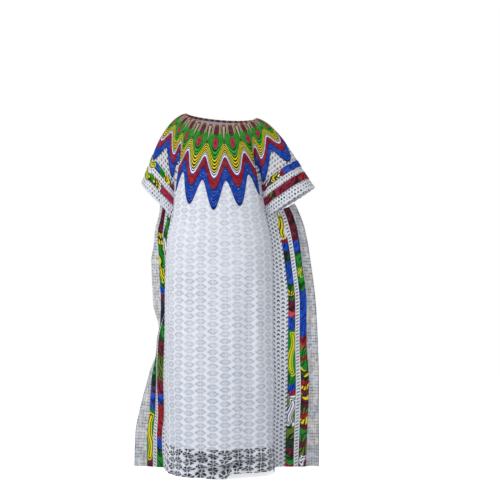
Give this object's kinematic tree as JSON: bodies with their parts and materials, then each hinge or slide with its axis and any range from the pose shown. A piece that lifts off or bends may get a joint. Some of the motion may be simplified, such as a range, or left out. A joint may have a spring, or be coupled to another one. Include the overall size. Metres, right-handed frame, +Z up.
{
  "type": "grand boubou robe",
  "caption": "Floor-length white eyelet lace boubou with a petalled print yoke, wide short sleeves and banded side wings, open at neck, sleeves and hem.",
  "frame": {"origin": "middle of the neck opening at the height of the shoulders that hold the robe up", "axes": "+Z up, +Y to the back, +X to the wearer's left"},
  "size_m": [0.7403, 0.3316, 1.3969],
  "materials": {
    "eyelet_lace": "matt white broderie cotton with small openings",
    "plain_lining": "matt plain white cotton",
    "yoke_print": "matt printed cotton, green, yellow, red and blue rays",
    "band_print": "matt printed cotton, wavy stripes",
    "sleeve_print": "matt printed cotton, wavy stripes",
    "binding_print": "matt printed cotton, gathered"
  },
  "bodies": {
    "root": {"front_panel": "eyelet_lace", "back_panel": "eyelet_lace", "sleeve_left": "eyelet_lace", "sleeve_right": "eyelet_lace", "wing_front_left": "eyelet_lace", "wing_back_left": "eyelet_lace", "wing_front_right": "eyelet_lace", "wing_back_right": "eyelet_lace", "lining_front": "plain_lining", "lining_back": "plain_lining", "yoke": "yoke_print", "neck_binding": "binding_print", "band_inner_front_left": "band_print", "band_inner_front_right": "band_print", "band_inner_back_left": "band_print", "band_inner_back_right": "band_print", "band_outer_front_left": "band_print", "band_outer_front_right": "band_print", "band_outer_back_left": "band_print", "band_outer_back_right": "band_print", "sleeve_band_upper_left": "sleeve_print", "sleeve_band_upper_right": "sleeve_print", "sleeve_band_lower_left": "sleeve_print", "sleeve_band_lower_right": "sleeve_print"}
  },
  "joints": []
}
